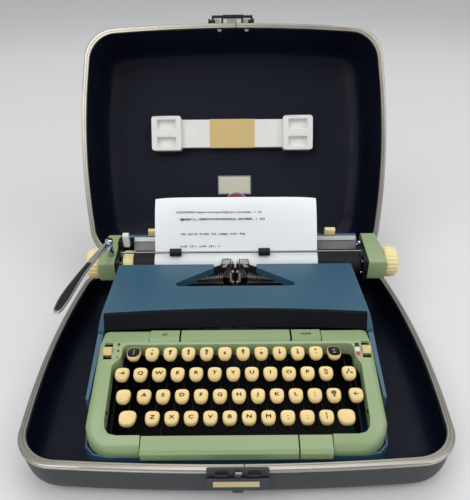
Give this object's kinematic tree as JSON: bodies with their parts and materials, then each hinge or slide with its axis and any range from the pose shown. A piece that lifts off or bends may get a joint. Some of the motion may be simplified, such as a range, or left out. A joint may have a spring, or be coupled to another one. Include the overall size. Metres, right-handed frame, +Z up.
{
  "type": "portable typewriter in carrying case",
  "caption": "Portable typewriter with sloped four-row keyboard, fanned type bars, sliding carriage with platen, bail and paper, standing in its opened hard carrying case.",
  "frame": {"origin": "middle of the carrying case's flat bottom, on the surface it stands on", "axes": "+X to the typist's right, +Y away from the typist towards the case's hinges, +Z up"},
  "size_m": [0.4514, 0.582, 0.3714],
  "materials": {
    "case_shell": "pebbled charcoal shell",
    "case_trim": "brushed trim",
    "bright": "polished",
    "black_metal": "satin black",
    "blue_paint": "satin enamel",
    "green_paint": "satin enamel",
    "black_paint": "gloss enamel",
    "ivory_plastic": "moulded keys",
    "ivory_knob": "fluted",
    "steel": "machined",
    "grey_metal": "satin grey",
    "rubber": "matt",
    "foam": "moulded foam",
    "paper": "matt paper",
    "clear": "translucent"
  },
  "bodies": {
    "case": {"case_tray": "case_shell", "tray_rim": "case_trim", "hinge_pin_left": "bright", "hinge_pin_right": "bright", "latch_plate": "black_metal", "base_pan": "blue_paint", "body_housing": "blue_paint", "chassis": "black_metal", "top_cover": "blue_paint", "fascia_band": "black_paint", "keyboard_frame": "green_paint", "type_guide": "bright", "card_holder_left": "clear", "card_holder_right": "clear"},
    "lid": {"case_lid": "case_shell", "lid_rim": "case_trim", "handle_plate": "black_metal", "foam_packing": "foam"},
    "handle": {"handle": "black_metal"},
    "latch_flap": {"latch_flap": "black_metal"},
    "keys_row_1": {"keys_row_1": "ivory_plastic"},
    "keys_row_2": {"keys_row_2": "ivory_plastic"},
    "keys_row_3": {"keys_row_3": "ivory_plastic"},
    "keys_row_4": {"keys_row_4": "ivory_plastic"},
    "key_h": {"key_h": "ivory_plastic"},
    "type_basket": {"type_basket": "steel"},
    "typebar_h": {"typebar_h": "steel"},
    "tab_key": {"tab_key": "ivory_plastic"},
    "margin_release_key": {"margin_release_key": "ivory_plastic"},
    "shift_lock_key": {"shift_lock_key": "ivory_plastic"},
    "backspace_key": {"backspace_key": "ivory_plastic"},
    "shift_key_left": {"shift_key_left": "ivory_plastic"},
    "shift_key_right": {"shift_key_right": "ivory_plastic"},
    "tab_set_key": {"tab_set_key": "green_paint"},
    "tab_clear_key": {"tab_clear_key": "green_paint"},
    "tabulator_bar": {"tabulator_bar": "green_paint"},
    "space_bar": {"space_bar": "green_paint"},
    "power_space_bar": {"power_space_bar": "green_paint"},
    "touch_selector": {"touch_selector": "ivory_plastic"},
    "ribbon_selector": {"ribbon_selector": "ivory_plastic"},
    "ribbon_spool_left": {"ribbon_spool_left": "black_metal"},
    "ribbon_spool_right": {"ribbon_spool_right": "black_metal"},
    "carriage": {"carriage_frame": "black_metal", "end_cover_left": "green_paint", "end_cover_right": "green_paint", "paper_table": "grey_metal", "carriage_back_cover": "blue_paint", "paper_sheet": "paper"},
    "platen": {"platen": "rubber", "platen_knob_left": "ivory_knob", "platen_knob_right": "ivory_knob"},
    "paper_bail": {"paper_bail": "bright"},
    "bail_roller_left": {"bail_roller_left": "rubber"},
    "bail_roller_right": {"bail_roller_right": "rubber"},
    "return_lever": {"return_lever": "bright"},
    "line_space_selector": {"line_space_selector": "ivory_knob"},
    "carriage_release_lever_left": {"carriage_release_lever_left": "ivory_knob"},
    "carriage_release_lever_right": {"carriage_release_lever_right": "ivory_knob"},
    "margin_stop_left": {"margin_stop_left": "ivory_knob"},
    "margin_stop_right": {"margin_stop_right": "ivory_knob"}
  },
  "joints": [
    {"name": "lid_hinge", "type": "hinge", "parent": "case", "child": "lid", "pos_m": [0, 0.1768, 0.0513], "axis": [1, 0, 0], "range_deg": [0, 35]},
    {"name": "handle_hinge", "type": "hinge", "parent": "lid", "child": "handle", "pos_m": [-0.003, 0.34794, 0.36597], "axis": [1, 0, 0], "range_deg": [0, 95]},
    {"name": "latch_flap_hinge", "type": "hinge", "parent": "case", "child": "latch_flap", "pos_m": [0.001, -0.1795, 0.045], "axis": [-1, 0, 0], "range_deg": [0, 60]},
    {"name": "keys_row_1_hinge", "type": "hinge", "parent": "case", "child": "keys_row_1", "pos_m": [0, 0.008, 0.086], "axis": [1, 0, 0], "range_deg": [0, 8], "stiffness_Nm_per_rad": 0.25, "springref_deg": -11.46},
    {"name": "keys_row_2_hinge", "type": "hinge", "parent": "case", "child": "keys_row_2", "pos_m": [0, 0.008, 0.077], "axis": [1, 0, 0], "range_deg": [0, 6.4], "stiffness_Nm_per_rad": 0.25, "springref_deg": -11.46},
    {"name": "keys_row_3_hinge", "type": "hinge", "parent": "case", "child": "keys_row_3", "pos_m": [0, 0.008, 0.064], "axis": [1, 0, 0], "range_deg": [0, 5.3], "stiffness_Nm_per_rad": 0.25, "springref_deg": -11.46},
    {"name": "keys_row_4_hinge", "type": "hinge", "parent": "case", "child": "keys_row_4", "pos_m": [0, 0.008, 0.056], "axis": [1, 0, 0], "range_deg": [0, 4.6], "stiffness_Nm_per_rad": 0.25, "springref_deg": -11.46},
    {"name": "key_h_hinge", "type": "hinge", "parent": "case", "child": "key_h", "pos_m": [0.00285, 0.008, 0.064], "axis": [1, 0, 0], "range_deg": [0, 5.3], "stiffness_Nm_per_rad": 0.03, "springref_deg": -14.32},
    {"name": "basket_shift", "type": "slide", "parent": "case", "child": "type_basket", "axis": [0, 0, -1], "range_m": [0, 0.006], "stiffness_N_per_m": 600, "springref_m": -0.014},
    {"name": "typebar_h_hinge", "type": "hinge", "parent": "type_basket", "child": "typebar_h", "pos_m": [0, 0.088, 0.039], "axis": [-1, 0, 0], "range_deg": [0, 84.8]},
    {"name": "tab_key_hinge", "type": "hinge", "parent": "case", "child": "tab_key", "pos_m": [-0.1172, -0.004, 0.082], "axis": [1, 0, 0], "range_deg": [0, 6.6], "stiffness_Nm_per_rad": 0.03, "springref_deg": -14.32},
    {"name": "margin_release_key_hinge", "type": "hinge", "parent": "case", "child": "margin_release_key", "pos_m": [0.116, -0.004, 0.082], "axis": [1, 0, 0], "range_deg": [0, 6.6], "stiffness_Nm_per_rad": 0.03, "springref_deg": -14.32},
    {"name": "shift_lock_key_hinge", "type": "hinge", "parent": "case", "child": "shift_lock_key", "pos_m": [-0.1149, -0.004, 0.0665], "axis": [1, 0, 0], "range_deg": [0, 5.6], "stiffness_Nm_per_rad": 0.03, "springref_deg": -14.32},
    {"name": "backspace_key_hinge", "type": "hinge", "parent": "case", "child": "backspace_key", "pos_m": [0.1204, -0.004, 0.0665], "axis": [1, 0, 0], "range_deg": [0, 5.6], "stiffness_Nm_per_rad": 0.03, "springref_deg": -14.32},
    {"name": "shift_key_left_hinge", "type": "hinge", "parent": "case", "child": "shift_key_left", "pos_m": [-0.1105, -0.004, 0.0555], "axis": [1, 0, 0], "range_deg": [0, 4.6]},
    {"name": "shift_key_right_hinge", "type": "hinge", "parent": "case", "child": "shift_key_right", "pos_m": [0.1096, -0.004, 0.0555], "axis": [1, 0, 0], "range_deg": [0, 4.6]},
    {"name": "tab_set_key_hinge", "type": "hinge", "parent": "case", "child": "tab_set_key", "pos_m": [-0.0762, 0.008, 0.092], "axis": [1, 0, 0], "range_deg": [0, 4], "stiffness_Nm_per_rad": 0.05, "springref_deg": -11.46},
    {"name": "tab_clear_key_hinge", "type": "hinge", "parent": "case", "child": "tab_clear_key", "pos_m": [0.0762, 0.008, 0.092], "axis": [1, 0, 0], "range_deg": [0, 4], "stiffness_Nm_per_rad": 0.05, "springref_deg": -11.46},
    {"name": "tabulator_bar_hinge", "type": "hinge", "parent": "case", "child": "tabulator_bar", "pos_m": [0, 0.008, 0.097], "axis": [1, 0, 0], "range_deg": [0, 4], "stiffness_Nm_per_rad": 0.1, "springref_deg": -14.32},
    {"name": "space_bar_hinge", "type": "hinge", "parent": "case", "child": "space_bar", "pos_m": [0, 0.008, 0.042], "axis": [1, 0, 0], "range_deg": [0, 2.2], "stiffness_Nm_per_rad": 0.5, "springref_deg": -8.59},
    {"name": "power_space_bar_hinge", "type": "hinge", "parent": "case", "child": "power_space_bar", "pos_m": [0.0762, 0.008, 0.035], "axis": [1, 0, 0], "range_deg": [0, 2.2], "stiffness_Nm_per_rad": 0.2, "springref_deg": -6.88},
    {"name": "touch_selector_slide", "type": "slide", "parent": "case", "child": "touch_selector", "axis": [0, 0.9145, 0.4047], "range_m": [-0.0026, 0.0026]},
    {"name": "ribbon_selector_slide", "type": "slide", "parent": "case", "child": "ribbon_selector", "axis": [0, 0.9145, 0.4047], "range_m": [-0.0026, 0.0026]},
    {"name": "ribbon_spool_left_spin", "type": "hinge", "parent": "case", "child": "ribbon_spool_left", "pos_m": [-0.107, 0.047, 0.0883], "axis": [0, 0, 1], "continuous": true},
    {"name": "ribbon_spool_right_spin", "type": "hinge", "parent": "case", "child": "ribbon_spool_right", "pos_m": [0.107, 0.047, 0.0883], "axis": [0, 0, 1], "continuous": true},
    {"name": "carriage_slide", "type": "slide", "parent": "case", "child": "carriage", "axis": [1, 0, 0], "range_m": [-0.12, 0.12]},
    {"name": "platen_spin", "type": "hinge", "parent": "carriage", "child": "platen", "pos_m": [0, 0.11, 0.096], "axis": [1, 0, 0], "continuous": true},
    {"name": "paper_bail_hinge", "type": "hinge", "parent": "carriage", "child": "paper_bail", "pos_m": [0, 0.1, 0.092], "axis": [1, 0, 0], "range_deg": [0, 30], "stiffness_Nm_per_rad": 0.03, "springref_deg": -20.05},
    {"name": "bail_roller_left_spin", "type": "hinge", "parent": "paper_bail", "child": "bail_roller_left", "pos_m": [-0.0785, 0.1015, 0.1179], "axis": [1, 0, 0], "continuous": true},
    {"name": "bail_roller_right_spin", "type": "hinge", "parent": "paper_bail", "child": "bail_roller_right", "pos_m": [0.0385, 0.1015, 0.1179], "axis": [1, 0, 0], "continuous": true},
    {"name": "return_lever_hinge", "type": "hinge", "parent": "carriage", "child": "return_lever", "pos_m": [-0.1645, 0.104, 0.1325], "axis": [0, 0, 1], "range_deg": [0, 30], "stiffness_Nm_per_rad": 0.1, "springref_deg": -11.46},
    {"name": "line_space_selector_hinge", "type": "hinge", "parent": "carriage", "child": "line_space_selector", "pos_m": [-0.1517, 0.127, 0.116], "axis": [1, 0, 0], "range_deg": [-8, 8]},
    {"name": "carriage_release_lever_left_hinge", "type": "hinge", "parent": "carriage", "child": "carriage_release_lever_left", "pos_m": [-0.1645, 0.1493, 0.1005], "axis": [0, 0, -1], "range_deg": [0, 12], "stiffness_Nm_per_rad": 0.01, "springref_deg": -11.46},
    {"name": "carriage_release_lever_right_hinge", "type": "hinge", "parent": "carriage", "child": "carriage_release_lever_right", "pos_m": [0.1835, 0.1493, 0.1005], "axis": [0, 0, 1], "range_deg": [0, 12], "stiffness_Nm_per_rad": 0.01, "springref_deg": -11.46},
    {"name": "margin_stop_left_slide", "type": "slide", "parent": "carriage", "child": "margin_stop_left", "axis": [1, 0, 0], "range_m": [-0.02, 0.09]},
    {"name": "margin_stop_right_slide", "type": "slide", "parent": "carriage", "child": "margin_stop_right", "axis": [1, 0, 0], "range_m": [-0.09, 0.02]}
  ],
  "couplings": [
    {"joint": "typebar_h_hinge", "follows": "key_h_hinge", "ratio": 15.849},
    {"joint": "shift_key_left_hinge", "follows": "basket_shift", "rad_per_m": 13.367},
    {"joint": "shift_key_right_hinge", "follows": "basket_shift", "rad_per_m": 13.367}
  ]
}
